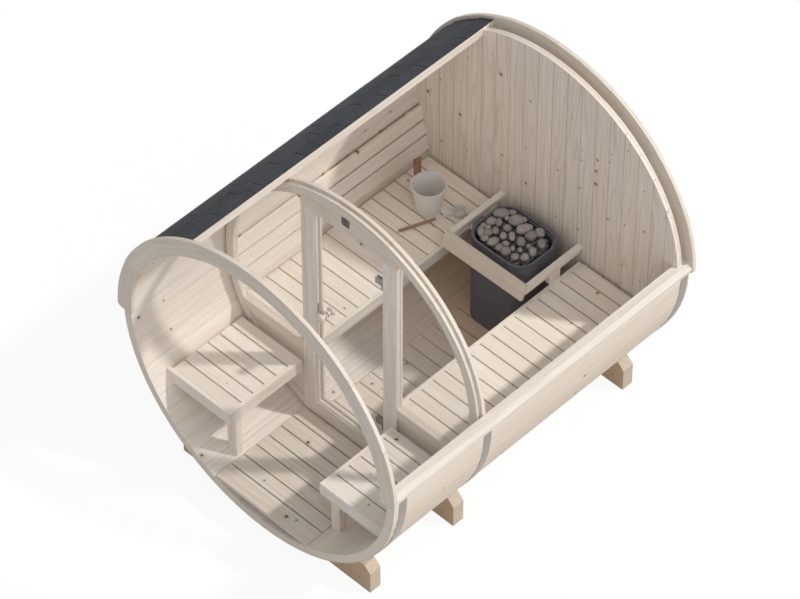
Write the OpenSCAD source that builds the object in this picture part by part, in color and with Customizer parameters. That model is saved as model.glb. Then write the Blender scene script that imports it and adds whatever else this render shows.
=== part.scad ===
// Round barrel sauna shown cut open, lying on three cradles, with a porch and a glazed front.
// Millimetres, +Z up, ground at z = 0, front end towards -Y.

/* [Barrel] */
// overall length over both end arches
barrel_len = 2550; // [2200:10:3000]
// radius to the outer corners of the staves
shell_r = 1108; // [1000:2:1200]
// stave thickness
stave_t = 58; // [40:1:64]
// staves left in place
stave_count = 45; // [44:1:46]
// angle taken by one stave
stave_step = 5.5; // [5.4:0.05:5.6]
// angle above level where the staves stop on the right
cut_right = 4.5; // [3:0.5:8]
// hairline joint between neighbouring boards
joint = 0.2; // [0.1:0.05:0.3]

/* [End arches] */
// how far the end arches stand out past the staves
arch_over = 27; // [20:1:50]
// how far the end arches reach in from the staves' outside
arch_under = 90; // [70:2:120]
// arch board thickness
arch_t = 25; // [18:1:40]
// butt-jointed boards in one arch
arch_parts = 8; // [6:1:10]
// rounding of the arch feet
arch_round = 36; // [10:1:60]
// step between neighbouring arch boards
arch_stagger = 2; // [0:0.5:4]

/* [Cradles] */
// height of a cradle's board under the barrel
cradle_under = 62; // [40:1:90]
// how far a cradle's end stays inside the barrel's side
cradle_in = 318; // [250:2:380]
// cradle board thickness
cradle_t = 88; // [60:2:120]
// height of the cradle's upright end
cradle_end_h = 171; // [120:1:200]
// height of the cradle's top edge
cradle_top_h = 221; // [205:1:260]
// run of the cradle's sloped corner
cradle_slope = 47; // [20:1:80]
// front cradle, from the front end
cradle_front_at = 148; // [120:2:200]
// middle cradle, back from the partition's front face
cradle_mid_back = 67; // [60:1:200]
// back cradle, from the back end
cradle_rear_in = 111; // [90:1:200]

/* [Hoops] */
// hoop width
hoop_w = 60; // [30:1:70]
// hoop thickness
hoop_t = 2; // [1:0.5:4]
// front hoop, from the front end
hoop_front_at = 67; // [40:1:80]
// middle hoop, forward of the partition's front face
hoop_mid_fwd = 24; // [0:1:60]
// back hoop, from the back end
hoop_rear_in = 40; // [30:1:50]

/* [Roof and eaves] */
// shingle thickness at a course's upper edge
course_t_top = 5; // [3:0.5:8]
// shingle thickness at a course's lower edge
course_t_low = 10; // [6:0.5:14]
// shingles stop this angle above the eaves batten
course_lap = 0.3; // [0.2:0.1:1]
// eaves batten height
batten_h = 60; // [40:1:80]
// how far the eaves batten stands out from the staves
batten_out = 24; // [16:1:26]

/* [Back wall] */
// inner face of the back wall, from the back end
wall_in = 108; // [90:2:300]
// back wall thickness
wall_t = 20; // [16:1:30]
// boards of the ring behind the back wall, where the staves are missing
wall_ring_top = 5; // [4:1:8]
// boards of the ring behind the back wall, inside the staves
wall_ring_low = 11; // [8:1:16]
// thickness of the ring behind the back wall
wall_ring_t = 18; // [12:1:25]
// width of the ring behind the back wall
wall_ring_w = 90; // [60:2:120]
// how far the back wall enters the staves' thickness
wall_groove = 37; // [20:1:38]
// wall board width
wall_pitch = 114.5; // [90:0.5:150]

/* [Glazed front] */
// front face of the partition, from the front end
part_at = 786; // [700:2:900]
// depth of the partition frame
part_d = 52; // [40:1:70]
// depth of the frame's front layer
lip_d = 28; // [20:1:40]
// inner edge of the frame's front layer, in from the staves
lip_in = 82; // [60:2:110]
// outer edge of the frame's front layer, in from the staves
lip_out = 20; // [10:1:30]
// inner edge of the frame's rear layer, in from the staves
ring_in = 65; // [45:1:80]
// boards of the round frame over the missing staves
frame_top = 5; // [4:1:8]
// boards of the round frame down the left side
frame_left = 6; // [5:1:8]
// boards of the round frame down the right side
frame_right = 4; // [3:1:6]
// half width of the doorway
door_half = 275; // [240:5:310]
// width of a door post
post_w = 110; // [80:2:130]
// height of the header over the door
header_d = 146; // [142:1:200]
// sill top above the room floor
sill_up = 138; // [100:1:180]
// top of the rails under the side panes, above the room seats
rail_up = 28; // [20:1:60]
// height of the rails under the side panes
rail_w = 80; // [50:1:110]
// thickness of the panels under the side panes
panel_t = 24; // [15:1:30]
// side pane thickness
pane_t = 8; // [6:1:10]
// vent grille size
vent_w = 56; // [40:1:58]
// vent grille, left edge from the middle
vent_x = -45; // [-60:1:0]
// vent grille, bottom above the door head
vent_up = 81; // [70:1:82]
// vent grille thickness
vent_t = 6; // [3:1:10]
// bar width of the vent grille
vent_bar = 7; // [5:1:9]

/* [Door] */
// gap between the door's free edge and its post
door_gap = 6; // [5:0.5:10]
// gap between the door's hinge edge and its post
hinge_edge_gap = 7; // [6:0.5:10]
// gap between the door and the sill and header
door_end_gap = 8; // [5:0.5:12]
// door glass thickness
door_t = 8; // [6:1:10]
// hinge axis, in from the right post
hinge_in = 13; // [12:0.5:16]
// hinge axis, back from the frame's front face
hinge_back = 11; // [10:0.5:14]
// hinge barrel radius
hinge_r = 7; // [5:0.5:7]
// half height of a hinge barrel
hinge_half = 22; // [15:1:30]
// gap above and below a hinge barrel
hinge_gap = 6; // [5:0.5:8]
// hinge pin radius
pin_r = 3.5; // [2.5:0.25:4]
// play between a hinge pin and its barrel
pin_play = 0.3; // [0.2:0.05:0.5]
// height of a hinge lug
lug_h = 16; // [10:1:24]
// length of a hinge clamp on the glass
clamp_l = 46; // [35:1:60]
// lower hinge, above the sill
hinge_low = 220; // [150:5:300]
// upper hinge, below the door head
hinge_high = 211; // [150:1:300]
// door knob radius
knob_r = 29; // [22:1:32]
// door knob, out from the glass
knob_out = 50; // [40:1:60]
// radius of the knob's neck
knob_neck_r = 11; // [8:1:14]
// radius of the ring between the knob and the glass
rose_r = 21; // [16:1:26]
// thickness of that ring
rose_t = 6; // [4:0.5:8]
// door knob's middle, in from the door's free edge
knob_in = 51; // [45:1:70]
// door knob's middle, above the sill
knob_up = 803; // [700:1:900]
// door stop lath width
stop_w = 11; // [8:0.5:14]
// door stop lath thickness
stop_d = 14; // [10:0.5:15]
// width of the rebate along the left post and the sill
rebate_w = 10; // [6:0.5:14]
// depth of that rebate
rebate_d = 12; // [8:0.5:14]
// catch plate width
catch_w = 16; // [12:0.5:20]
// catch plate, back from the rebate
catch_in = 1; // [0.5:0.5:4]
// catch plate height
catch_h = 86; // [60:1:100]
// catch plate thickness, let into the post
catch_t = 3; // [2:0.25:4]
// catch roller radius
roller_r = 4; // [3:0.25:5]
// catch roller length
roller_l = 28; // [20:1:40]
// catch plate's middle, above the sill
catch_up = 825; // [700:1:900]

/* [Floors] */
// porch floor, above the barrel's inside bottom
porch_floor_up = 90; // [75:1:110]
// porch floor ends, in from the posts' outer sides
porch_floor_in = 5; // [0:1:30]
// room floor, above the barrel's inside bottom
room_floor_up = 75; // [65:1:85]
// room floor edge, out from the doorway's side
room_floor_out = 22; // [0:1:25]
// floor board thickness
floor_t = 28; // [20:1:34]
// gap between floor boards
floor_gap = 9; // [3:0.5:10]
// front edge of the porch floor, from the front end
porch_floor_at = 30; // [26:1:60]
// width of the front porch board
front_board_w = 124; // [90:1:130]
// porch boards behind the front one
porch_boards = 6; // [4:1:7]
// room floor board pitch
room_pitch_aim = 105; // [90:1:130]
// bearers under the room floor, width
bearer_w = 40; // [30:1:60]
// bearers under the room floor, inner edge from the middle
bearer_x = 190; // [150:5:230]

/* [Porch benches] */
// porch seats above the porch floor
porch_seat_up = 446; // [400:2:480]
// porch bench, inner edge in from the door post's outer side
porch_seat_in = 12; // [0:1:15]
// slat ends of all benches, short of the staves
seat_clear = 37; // [30:1:60]
// porch bench, front edge from the front end
porch_seat_at = 155; // [140:5:200]
// gap between a porch bench and the partition
porch_seat_gap = 31; // [20:1:60]
// slats in a porch bench
porch_slats = 6; // [5:1:7]
// rail thickness of the benches
rail_t = 26; // [20:1:30]
// rail height of the porch benches
porch_rail_h = 94; // [70:2:120]
// leg width
leg_w = 70; // [50:2:80]
// leg depth
leg_d = 50; // [40:2:60]
// leg, back from the bench's front edge
leg_back = 66; // [40:2:90]
// slat thickness
slat_t = 25; // [20:1:30]
// gap between slats
slat_gap = 10; // [4:0.5:12]
// height of the ledgers under the slats
ledger_h = 42; // [30:1:60]

/* [Room benches] */
// room seats above the room floor
seat_up = 572; // [520:2:600]
// room bench, front edge out from the room floor's edge
seat_in = 37; // [20:1:50]
// front rail height of the room benches
seat_rail_h = 90; // [70:2:120]
// slat pitch of the room benches
slat_pitch = 100.5; // [90:0.5:110]
// gap between a room bench and the back wall
seat_gap = 22; // [10:1:30]

/* [Backrest] */
// backrest board width
rest_w = 101; // [90:1:110]
// gap between backrest boards
rest_gap = 14; // [5:0.5:15]
// backrest board thickness
rest_t = 22; // [16:1:24]
// backrest boards
rest_boards = 3; // [2:1:3]
// first board's edge, up the backrest line from the seat
rest_from = 50; // [30:1:60]
// backrest line, out from the slats' ends
rest_off = 1; // [0.5:0.5:5]
// top of the backrest line, short of the staves
rest_clear = 38; // [36:1:60]
// thickness of a backrest support
rest_support_t = 40; // [30:1:60]
// end supports, in from the backrest's ends
rest_support_in = 80; // [40:5:200]

/* [Heater and guard] */
// heater width
heater_w = 472; // [420:4:520]
// heater depth
heater_d = 376; // [340:4:420]
// heater height
heater_h = 715; // [600:5:720]
// heater corner radius
heater_round = 110; // [90:5:150]
// width of the heater's rim
heater_rim = 12; // [10:1:25]
// width of the sunk ledge inside the rim
heater_ledge = 10; // [10:1:25]
// depth of the sunk ledge
ledge_d = 16; // [8:1:30]
// depth of the stone basket
basket_d = 190; // [120:5:260]
// gap between the heater and the back wall
heater_gap = 58; // [20:1:60]
// stone bed, top above the heater's rim
stone_rise = 10; // [0:1:25]
// stone bed, clear of the casing
stone_gap = 3; // [1:0.5:10]
// guard plank width
plank_w = 112; // [100:1:140]
// guard plank thickness
plank_t = 23; // [18:1:28]
// guard plank lean from upright
plank_lean = 21.6; // [10:0.2:30]
// guard plank, lower front edge above the bench
plank_up = 40; // [20:1:60]
// guard plank, lower front edge in front of the heater
plank_front = 102; // [80:2:110]
// guard plank ends, short of the rails' outer faces
plank_short = 7; // [0:1:20]
// guard rail width
guard_w = 40; // [30:1:50]
// guard rail height
guard_h = 42; // [30:1:50]
// guard rail, bottom above the bench
guard_up = 73; // [60:1:85]
// guard rail, outer face out from the bench's front edge
guard_out = 3; // [0:1:10]
// guard block length
block_l = 96; // [40:2:100]
// guard block width
block_w = 34; // [25:1:60]
// guard block, back from the back wall
block_back = 192; // [150:2:300]

/* [Pail and ladle] */
// pail height
pail_h = 218; // [180:1:260]
// pail rim radius
pail_r_top = 113; // [100:1:130]
// pail base radius
pail_r_low = 75; // [70:1:100]
// pail wall thickness
pail_wall = 10; // [6:0.5:14]
// pail's middle, out from the bench's front edge
pail_in = 284; // [260:2:320]
// pail's middle, from the back wall
pail_back = 342; // [300:2:380]
// tall handle stave, height above the rim
stave_up = 125; // [80:5:160]
// tall handle stave, width
stave_w = 52; // [40:1:60]
// tall handle stave, thickness
stave_thick = 12; // [8:1:14]
// turn of the tall handle stave seen from above
stave_turn = 170; // [150:1:210]
// ladle bowl radius
bowl_r = 47; // [40:1:60]
// radius of the ladle bowl's flat bottom
bowl_r_low = 34; // [30:1:45]
// ladle bowl height
bowl_h = 40; // [30:1:45]
// ladle bowl wall thickness
bowl_wall = 3; // [2:0.5:5]
// ladle bowl's middle, out from the bench's front edge
bowl_in = 114; // [100:1:130]
// ladle bowl's middle, from the back wall
bowl_back = 248; // [240:2:280]
// ladle shank length
shank_l = 112; // [80:2:150]
// ladle handle length
grip_l = 240; // [180:2:240]
// ladle handle radius
grip_r = 9; // [6:0.5:12]
// ladle shank radius
shank_r = 6; // [4:0.5:8]
// turn of the ladle seen from above
ladle_turn = 25; // [0:1:45]

/* [Hidden] */
$fn = 96;
ring_fn = 288;
top_steps = 20;
over = 1;
frame_over = 2;
batten_bend = [0.5, 0.25];
batten_foot = 0.55;
batten_groove = 0.1;
front_y = -barrel_len / 2;
axis_h = shell_r + cradle_under;
in_r = shell_r - stave_t;
arch_r_out = shell_r + arch_over;
arch_r_in = shell_r - arch_under;
cut_left = cut_right + 360 - stave_count * stave_step;
cut_x = shell_r * cos(cut_left);
far = 2 * arch_r_out;
shell_y0 = front_y + arch_t;
shell_y1 = -shell_y0;
flat_r = in_r * cos(stave_step / 2) - joint;
inside_h = axis_h - in_r;
cradle_half = shell_r - cradle_in;
cradle_y = [front_y + cradle_front_at, front_y + part_at + cradle_mid_back,
    -front_y - cradle_rear_in - cradle_t];
hoop_y = [front_y + hoop_front_at, front_y + part_at - hoop_mid_fwd, -front_y - hoop_rear_in - hoop_w];
batten_z = axis_h + shell_r * sin(cut_right);
eave_left = 180 - cut_right - course_lap;
course_count = ceil((eave_left - cut_left) / stave_step);
part_y0 = front_y + part_at;
part_y1 = part_y0 + part_d;
lip_y = part_y0 + lip_d;
lip_r_in = in_r - lip_in;
lip_r_out = in_r - lip_out;
ring_r_in = in_r - ring_in;
wall_y = -front_y - wall_in;
wall_r = in_r + wall_groove;
wall_count = 2 * floor(in_r / wall_pitch) + 1;
wall_half = wall_count * wall_pitch / 2;
post_x = door_half + post_w;
porch_floor_h = inside_h + porch_floor_up;
room_floor_h = inside_h + room_floor_up;
porch_floor_half = post_x - porch_floor_in;
room_floor_half = door_half + room_floor_out;
porch_pitch = (part_at - floor_gap - porch_floor_at - front_board_w) / porch_boards;
room_boards = round((wall_y - part_y1) / room_pitch_aim);
room_pitch = (wall_y - part_y1) / room_boards;
porch_seat_h = porch_floor_h + porch_seat_up;
porch_seat_x = post_x - porch_seat_in;
porch_seat_end = chord(porch_seat_h) - seat_clear;
porch_y0 = front_y + porch_seat_at;
porch_y1 = part_y0 - porch_seat_gap;
porch_slat_pitch = (porch_y1 - porch_y0 - rail_t + slat_gap) / porch_slats;
seat_h = room_floor_h + seat_up;
seat_x = room_floor_half + seat_in;
seat_end = chord(seat_h) - seat_clear;
seat_y1 = wall_y - seat_gap;
seat_slats = ceil((seat_y1 - part_y1) / slat_pitch);
rest_len = rest_from + rest_boards * (rest_w + rest_gap) - rest_gap;
rest_x = seat_end + rest_off;
rest_lean = atan((chord(seat_h + rest_len) - rest_clear - rest_x) / rest_len);
rest_support_y = [part_y1 + rest_support_in, (part_y1 + wall_y - rest_support_t) / 2,
    wall_y - rest_support_in - rest_support_t];
sill_h = room_floor_h + sill_up;
head_h = axis_h + lip_r_in - header_d;
rail_top_h = seat_h + rail_up;
vent_h = head_h + vent_up;
hinge_x = door_half - hinge_in;
hinge_y = part_y0 + hinge_back;
hinge_h = [sill_h + hinge_low, head_h - hinge_high];
glass_y = hinge_y + hinge_r + door_gap;
door_x0 = -door_half + door_gap;
door_x1 = door_half - hinge_edge_gap;
door_z0 = sill_h + door_end_gap;
door_z1 = head_h - door_end_gap;
knob_h = sill_h + knob_up;
stop_y = part_y1 - stop_d;
catch_y = part_y0 + rebate_d + catch_in + catch_w / 2;
catch_z = sill_h + catch_up;
heater_y = wall_y - heater_gap - heater_d / 2;
guard_x = seat_x + guard_out;
guard_z = seat_h + guard_up;
plank_half = guard_x - plank_short;
plank_y = heater_y - heater_d / 2 - plank_front;
plank_z = seat_h + plank_up;
pail_x = seat_x + pail_in;
bowl_x = seat_x + bowl_in;

function polar(r, a) = [r * cos(a), axis_h + r * sin(a)];

// half of the barrel's inside width at a height above the ground
function chord(h) = sqrt(in_r * in_r - (h - axis_h) * (h - axis_h));

// outline of the barrel at one radius, with the stave flats and a round top
function ring_pts(r) = concat(
    [for (k = [0 : stave_count]) polar(r, cut_left + k * stave_step)],
    [for (k = [1 : top_steps - 1]) polar(r, cut_right + k * (cut_left - cut_right) / top_steps)]);

// height of the topmost left stave's flat at one radius and one x
function flat_z(r, x) = let (p = polar(r, cut_left), q = polar(r, cut_left + stave_step))
    p[1] + (x - p[0]) * (q[1] - p[1]) / (q[0] - p[0]);

// outline of the back wall, deeper where the staves are missing
function wall_pts() = let (x = cut_x + joint, end = acos(x / wall_r)) concat(
    [[x, flat_z(in_r - joint, x)]],
    [for (k = [1 : stave_count]) polar(in_r - joint, cut_left + k * stave_step)],
    [for (k = [0 : top_steps]) polar(wall_r, cut_right + k * (end - cut_right) / top_steps)]);

// a shape drawn in x and z, stretched between two y values
module prism_y(y0, y1) {
    translate([0, y1, 0])
        rotate([90, 0, 0])
            linear_extrude(y1 - y0)
                children();
}

module rect(x0, x1, z0, z1) {
    translate([min(x0, x1), min(z0, z1)])
        square([abs(x1 - x0), abs(z1 - z0)]);
}

// keeps a flat shape inside the staves
module inside() {
    intersection() {
        children();
        polygon(ring_pts(in_r - joint));
    }
}

// a board of a ring between two angles, with half a joint left at each end
module ring_part(r0, r1, a0, a1) {
    slip = asin(joint / 2 / r0);
    intersection() {
        translate([0, axis_h])
            difference() {
                circle(r1, $fn = ring_fn);
                circle(r0, $fn = ring_fn);
            }
        polygon([[0, axis_h], polar(far, a0 + slip), polar(far, a1 - slip)]);
    }
}

module cradle(i) {
    color("BurlyWood")
        prism_y(cradle_y[i], cradle_y[i] + cradle_t)
            difference() {
                polygon([[-cradle_half, 0], [cradle_half, 0], [cradle_half, cradle_end_h],
                    [cradle_half - cradle_slope, cradle_top_h], [cradle_slope - cradle_half, cradle_top_h],
                    [-cradle_half, cradle_end_h]]);
                polygon(ring_pts(shell_r + joint));
            }
}

// the topmost left stave is sawn upright, the others are bevelled on both sides
module stave(k) {
    a0 = cut_left + k * stave_step;
    a1 = a0 + stave_step;
    slip_out = asin(joint / 2 / shell_r);
    slip_in = asin(joint / 2 / in_r);
    prism_y(shell_y0, shell_y1)
        polygon([k == 0 ? [cut_x, flat_z(shell_r, cut_x)] : polar(shell_r, a0 + slip_out),
            polar(shell_r, a1 - slip_out), polar(in_r, a1 - slip_in),
            k == 0 ? [cut_x, flat_z(in_r, cut_x)] : polar(in_r, a0 + slip_in)]);
}

module staves(k0, k1) {
    color("Wheat")
        for (k = [k0 : k1])
            stave(k);
}

module hoops() {
    color("Silver")
        for (y = hoop_y)
            prism_y(y, y + hoop_w)
                intersection() {
                    translate([0, axis_h])
                        difference() {
                            circle(shell_r + joint + hoop_t, $fn = ring_fn);
                            circle(shell_r + joint, $fn = ring_fn);
                        }
                    rect(-far, far, 0, batten_z - batten_h - joint);
                }
}

module roof_shingles() {
    slip = asin(joint / 2 / shell_r);
    color("DarkSlateGray")
        for (k = [0 : course_count - 1]) {
            a0 = cut_left + k * stave_step + slip;
            a1 = cut_left + (k + 1) * stave_step - slip;
            prism_y(shell_y0, shell_y1)
                intersection() {
                    polygon([polar(shell_r + joint, a0), polar(shell_r + joint, a1),
                        polar(shell_r + course_t_low, a1), polar(shell_r + course_t_top, a0)]);
                    polygon([[0, axis_h], polar(far, cut_left), polar(far, eave_left)]);
                }
        }
}

// moulded strip under the eaves: two sloped faces with a groove between them
module eaves_battens() {
    x0 = in_r;
    x1 = shell_r * cos(cut_right);
    x2 = x1 + batten_out * batten_bend[0];
    x3 = x1 + batten_out;
    z1 = batten_z;
    z2 = z1 - batten_h * batten_bend[1];
    z3 = z1 - batten_h * batten_foot;
    z4 = z1 - batten_h;
    groove = batten_out * batten_groove;
    color("Wheat")
        for (s = [-1, 1])
            prism_y(shell_y0, shell_y1)
                difference() {
                    polygon([[s * x0, z1], [s * x1, z1], [s * x2, z2], [s * (x2 - groove), z2 - groove],
                        [s * (x2 + groove / 2), z2 - 2 * groove], [s * x3, z3], [s * x3, z4 + 2 * groove],
                        [s * (x3 - 2 * groove), z4], [s * x0, z4]]);
                    polygon(ring_pts(shell_r + joint));
                }
}

module arch_foot(s) {
    difference() {
        rect(s * (arch_r_out - arch_round), s * far, 0, axis_h + arch_round);
        translate([s * (arch_r_out - arch_round), axis_h + arch_round])
            circle(arch_round);
    }
}

module arch(y0) {
    step = 180 / arch_parts;
    color("Wheat")
        for (i = [0 : arch_parts - 1])
            prism_y(y0, y0 + arch_t)
                difference() {
                    ring_part(arch_r_in - (i % 2) * arch_stagger, arch_r_out - (i % 2) * arch_stagger,
                        i * step, (i + 1) * step);
                    arch_foot(-1);
                    arch_foot(1);
                }
}

module back_wall() {
    color("Wheat")
        for (i = [0 : wall_count - 1]) {
            x0 = i == 0 ? -far : i * wall_pitch - wall_half;
            x1 = i == wall_count - 1 ? far : (i + 1) * wall_pitch - wall_half - joint;
            prism_y(wall_y, wall_y + wall_t)
                intersection() {
                    rect(x0, x1, 0, far);
                    polygon(wall_pts());
                }
        }
}

// segmented ring that ties the back wall's boards together from behind
module back_ring() {
    top_step = (cut_left - cut_right) / wall_ring_top;
    low_step = stave_count * stave_step / wall_ring_low;
    r0 = wall_r - wall_ring_w;
    color("Wheat") {
        for (i = [0 : wall_ring_top - 1])
            prism_y(wall_y + wall_t, wall_y + wall_t + wall_ring_t)
                intersection() {
                    ring_part(r0, wall_r, cut_right + i * top_step,
                        i == wall_ring_top - 1 ? 180 : cut_right + (i + 1) * top_step);
                    rect(cut_x + joint, far, 0, far);
                }
        for (i = [0 : wall_ring_low - 1])
            prism_y(wall_y + wall_t, wall_y + wall_t + wall_ring_t)
                difference() {
                    ring_part(r0, flat_r, i == 0 ? 90 : cut_left + i * low_step, cut_left + (i + 1) * low_step);
                    rect(cut_x, 0, axis_h, far);
                }
    }
}

// one board of the partition's round frame, a front lip over a rear ring
module frame_part(a0, a1) {
    prism_y(part_y0, lip_y)
        ring_part(lip_r_in, lip_r_out, a0, a1);
    prism_y(lip_y + joint, part_y1)
        ring_part(ring_r_in, flat_r, a0, a1);
}

module partition_arch() {
    step = (cut_left - cut_right) / frame_top;
    color("Wheat")
        for (i = [0 : frame_top - 1])
            frame_part(cut_right + i * step, cut_right + (i + 1) * step);
}

module partition_sides() {
    low = acos(post_x / in_r) + frame_over;
    left_step = (180 + low - cut_left) / frame_left;
    right_step = (cut_right + low) / frame_right;
    color("Wheat") {
        difference() {
            for (i = [0 : frame_left - 1])
                frame_part(cut_left + i * left_step, cut_left + (i + 1) * left_step);
            prism_y(part_y0 - over, part_y1 + over)
                rect(-post_x - joint, 0, 0, axis_h);
        }
        difference() {
            for (i = [0 : frame_right - 1])
                frame_part(i * right_step - low, (i + 1) * right_step - low);
            prism_y(part_y0 - over, part_y1 + over)
                rect(0, post_x + joint, 0, axis_h);
        }
    }
}

module door_header() {
    color("Wheat") {
        prism_y(part_y0, part_y1)
            intersection() {
                rect(-post_x, post_x, head_h, axis_h + far);
                translate([0, axis_h])
                    circle(lip_r_in - joint, $fn = ring_fn);
            }
        prism_y(stop_y, part_y1)
            rect(stop_w - door_half, door_half - stop_w, head_h - stop_w, head_h);
    }
}

// the pocket in the left post that the catch sits in
module catch_pocket() {
    translate([-door_half - catch_t, catch_y - catch_w / 2, catch_z - catch_h / 2])
        cube([catch_t + over, catch_w, catch_h]);
    translate([-door_half - 2 * roller_r, catch_y - roller_r, catch_z - roller_l / 2])
        cube([2 * roller_r + over, 2 * roller_r, roller_l]);
}

// the two posts, each with a stop lath behind the door
module door_posts() {
    color("Wheat") {
        difference() {
            prism_y(part_y0, part_y1)
                inside()
                    rect(-door_half, -post_x, 0, head_h);
            prism_y(part_y0 - over, part_y0 + rebate_d)
                rect(-door_half - rebate_w, -door_half + over, sill_h - rebate_w, head_h + over);
            catch_pocket();
        }
        prism_y(part_y0, part_y1)
            inside()
                rect(door_half, post_x, 0, head_h);
        for (s = [-1, 1])
            prism_y(stop_y, part_y1)
                rect(s * (door_half - stop_w), s * door_half, sill_h, head_h);
    }
}

// a plate with a roller, flush in the left post
module door_catch() {
    color("Silver") {
        difference() {
            translate([-door_half - catch_t, catch_y - catch_w / 2, catch_z - catch_h / 2])
                cube([catch_t, catch_w, catch_h]);
            translate([-door_half - catch_t - over, catch_y - roller_r, catch_z - roller_l / 2])
                cube([catch_t + 2 * over, 2 * roller_r, roller_l]);
        }
        translate([-door_half - roller_r, catch_y, catch_z - roller_l / 2])
            cylinder(h = roller_l, r = roller_r - joint);
    }
}

module door_sill() {
    color("Wheat") {
        difference() {
            prism_y(part_y0, part_y1)
                inside()
                    rect(-door_half, door_half, 0, sill_h);
            prism_y(part_y0 - over, part_y0 + rebate_d)
                rect(-door_half - over, door_half + over, sill_h - rebate_w, sill_h + over);
        }
        prism_y(stop_y, part_y1)
            rect(stop_w - door_half, door_half - stop_w, sill_h, sill_h + stop_w);
    }
}

// a region of a side bay, outside a post and inside the round frame
module bay(s, z0, z1, r) {
    intersection() {
        rect(s * post_x, s * far, z0, z1);
        translate([0, axis_h])
            circle(r - joint, $fn = ring_fn);
    }
}

module bay_rails() {
    color("Wheat")
        for (s = [-1, 1])
            prism_y(part_y0, part_y1)
                bay(s, rail_top_h - rail_w, rail_top_h, lip_r_in);
}

module bay_panels() {
    y0 = part_y0 + (part_d - panel_t) / 2;
    color("Wheat")
        for (s = [-1, 1])
            prism_y(y0, y0 + panel_t)
                bay(s, 0, rail_top_h - rail_w, lip_r_in);
}

module side_glass() {
    color("LightCyan", 0.35)
        for (s = [-1, 1])
            prism_y(lip_y + joint, lip_y + joint + pane_t)
                bay(s, rail_top_h, axis_h + far, ring_r_in);
}

module vent_grille() {
    hole = (vent_w - 3 * vent_bar) / 2;
    step = hole + vent_bar;
    color("DimGray")
        prism_y(part_y0 - vent_t, part_y0)
            difference() {
                rect(vent_x, vent_x + vent_w, vent_h, vent_h + vent_w);
                for (i = [0, 1])
                    for (k = [0, 1])
                        translate([vent_x + vent_bar + i * step, vent_h + vent_bar + k * step])
                            square(hole);
            }
}

module porch_floor() {
    y_rest = front_y + porch_floor_at + front_board_w;
    color("Wheat") {
        prism_y(front_y + porch_floor_at, y_rest)
            inside()
                rect(-porch_floor_half, porch_floor_half, porch_floor_h - floor_t, porch_floor_h);
        for (i = [0 : porch_boards - 1])
            prism_y(y_rest + i * porch_pitch + floor_gap, y_rest + (i + 1) * porch_pitch)
                inside()
                    rect(-porch_floor_half, porch_floor_half, porch_floor_h - floor_t, porch_floor_h);
    }
}

module room_floor() {
    color("Wheat")
        for (i = [0 : room_boards - 1])
            prism_y(part_y1 + i * room_pitch + floor_gap / 2, part_y1 + (i + 1) * room_pitch - floor_gap / 2)
                inside()
                    rect(-room_floor_half, room_floor_half, room_floor_h - floor_t, room_floor_h);
}

module floor_bearers() {
    color("BurlyWood")
        for (s = [-1, 1])
            prism_y(part_y1, wall_y)
                inside()
                    rect(s * bearer_x, s * (bearer_x + bearer_w), 0, room_floor_h - floor_t);
}

module porch_bench_frame(s) {
    y0 = porch_y0;
    y1 = porch_y1;
    z1 = porch_seat_h;
    z2 = z1 - slat_t;
    x0 = porch_seat_x;
    color("Wheat") {
        prism_y(y0, y0 + rail_t)
            inside()
                rect(s * (x0 + rail_t + joint), s * far, z1 - porch_rail_h, z1);
        prism_y(y0, y1)
            rect(s * x0, s * (x0 + rail_t), z1 - porch_rail_h, z1);
        prism_y(y0 + rail_t + joint, y1)
            rect(s * (x0 + rail_t + joint), s * (x0 + 2 * rail_t), z2 - ledger_h, z2);
        prism_y(y0 + rail_t + joint, y1)
            inside()
                rect(s * (porch_seat_end - ledger_h), s * porch_seat_end, z2 - 2 * ledger_h, z2);
        prism_y(y0 + leg_back, y0 + leg_back + leg_d)
            inside()
                rect(s * (x0 + rail_t + joint), s * (x0 + rail_t + leg_w), 0, z2 - ledger_h - joint);
    }
}

module porch_bench_slats(s) {
    y0 = porch_y0 + rail_t;
    color("Wheat")
        for (i = [0 : porch_slats - 1])
            prism_y(y0 + i * porch_slat_pitch + (i == 0 ? joint : 0), y0 + (i + 1) * porch_slat_pitch - slat_gap)
                rect(s * (porch_seat_x + rail_t + joint), s * porch_seat_end, porch_seat_h - slat_t, porch_seat_h);
}

module bench_frame(s) {
    z2 = seat_h - slat_t;
    color("Wheat") {
        prism_y(part_y1, seat_y1)
            rect(s * seat_x, s * (seat_x + rail_t), seat_h - seat_rail_h, seat_h);
        prism_y(part_y1, wall_y)
            rect(s * (seat_x + rail_t + joint), s * (seat_x + 2 * rail_t), z2 - ledger_h, z2);
        prism_y(part_y1, wall_y)
            inside()
                rect(s * (seat_end - ledger_h), s * seat_end, z2 - 2 * ledger_h, z2);
    }
}

module bench_slats(s) {
    color("Wheat")
        for (i = [0 : seat_slats - 1]) {
            y1 = seat_y1 - i * slat_pitch;
            y0 = max(y1 - slat_pitch + slat_gap, part_y1 + joint);
            prism_y(y0, y1)
                rect(s * (seat_x + rail_t + joint), s * seat_end, seat_h - slat_t, seat_h);
        }
}

// places a shape on the leaning backrest line: x outward to the staves, y up the line
module on_backrest() {
    translate([-rest_x, seat_h])
        rotate(rest_lean)
            mirror([1, 0])
                children();
}

module backrest_boards() {
    color("Wheat")
        for (i = [0 : rest_boards - 1])
            prism_y(part_y1, wall_y)
                on_backrest()
                    translate([0, rest_from + i * (rest_w + rest_gap)])
                        square([rest_t, rest_w]);
}

module backrest_supports() {
    color("BurlyWood")
        for (y = rest_support_y)
            prism_y(y, y + rest_support_t)
                inside()
                    on_backrest()
                        translate([rest_t + joint, rest_from])
                            square([in_r, rest_len - rest_from]);
}

module round_rect(w, d, r) {
    square([w - 2 * r, d], center = true);
    square([w, d - 2 * r], center = true);
    for (sx = [-1, 1])
        for (sy = [-1, 1])
            translate([sx * (w / 2 - r), sy * (d / 2 - r)])
                circle(r);
}

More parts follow.
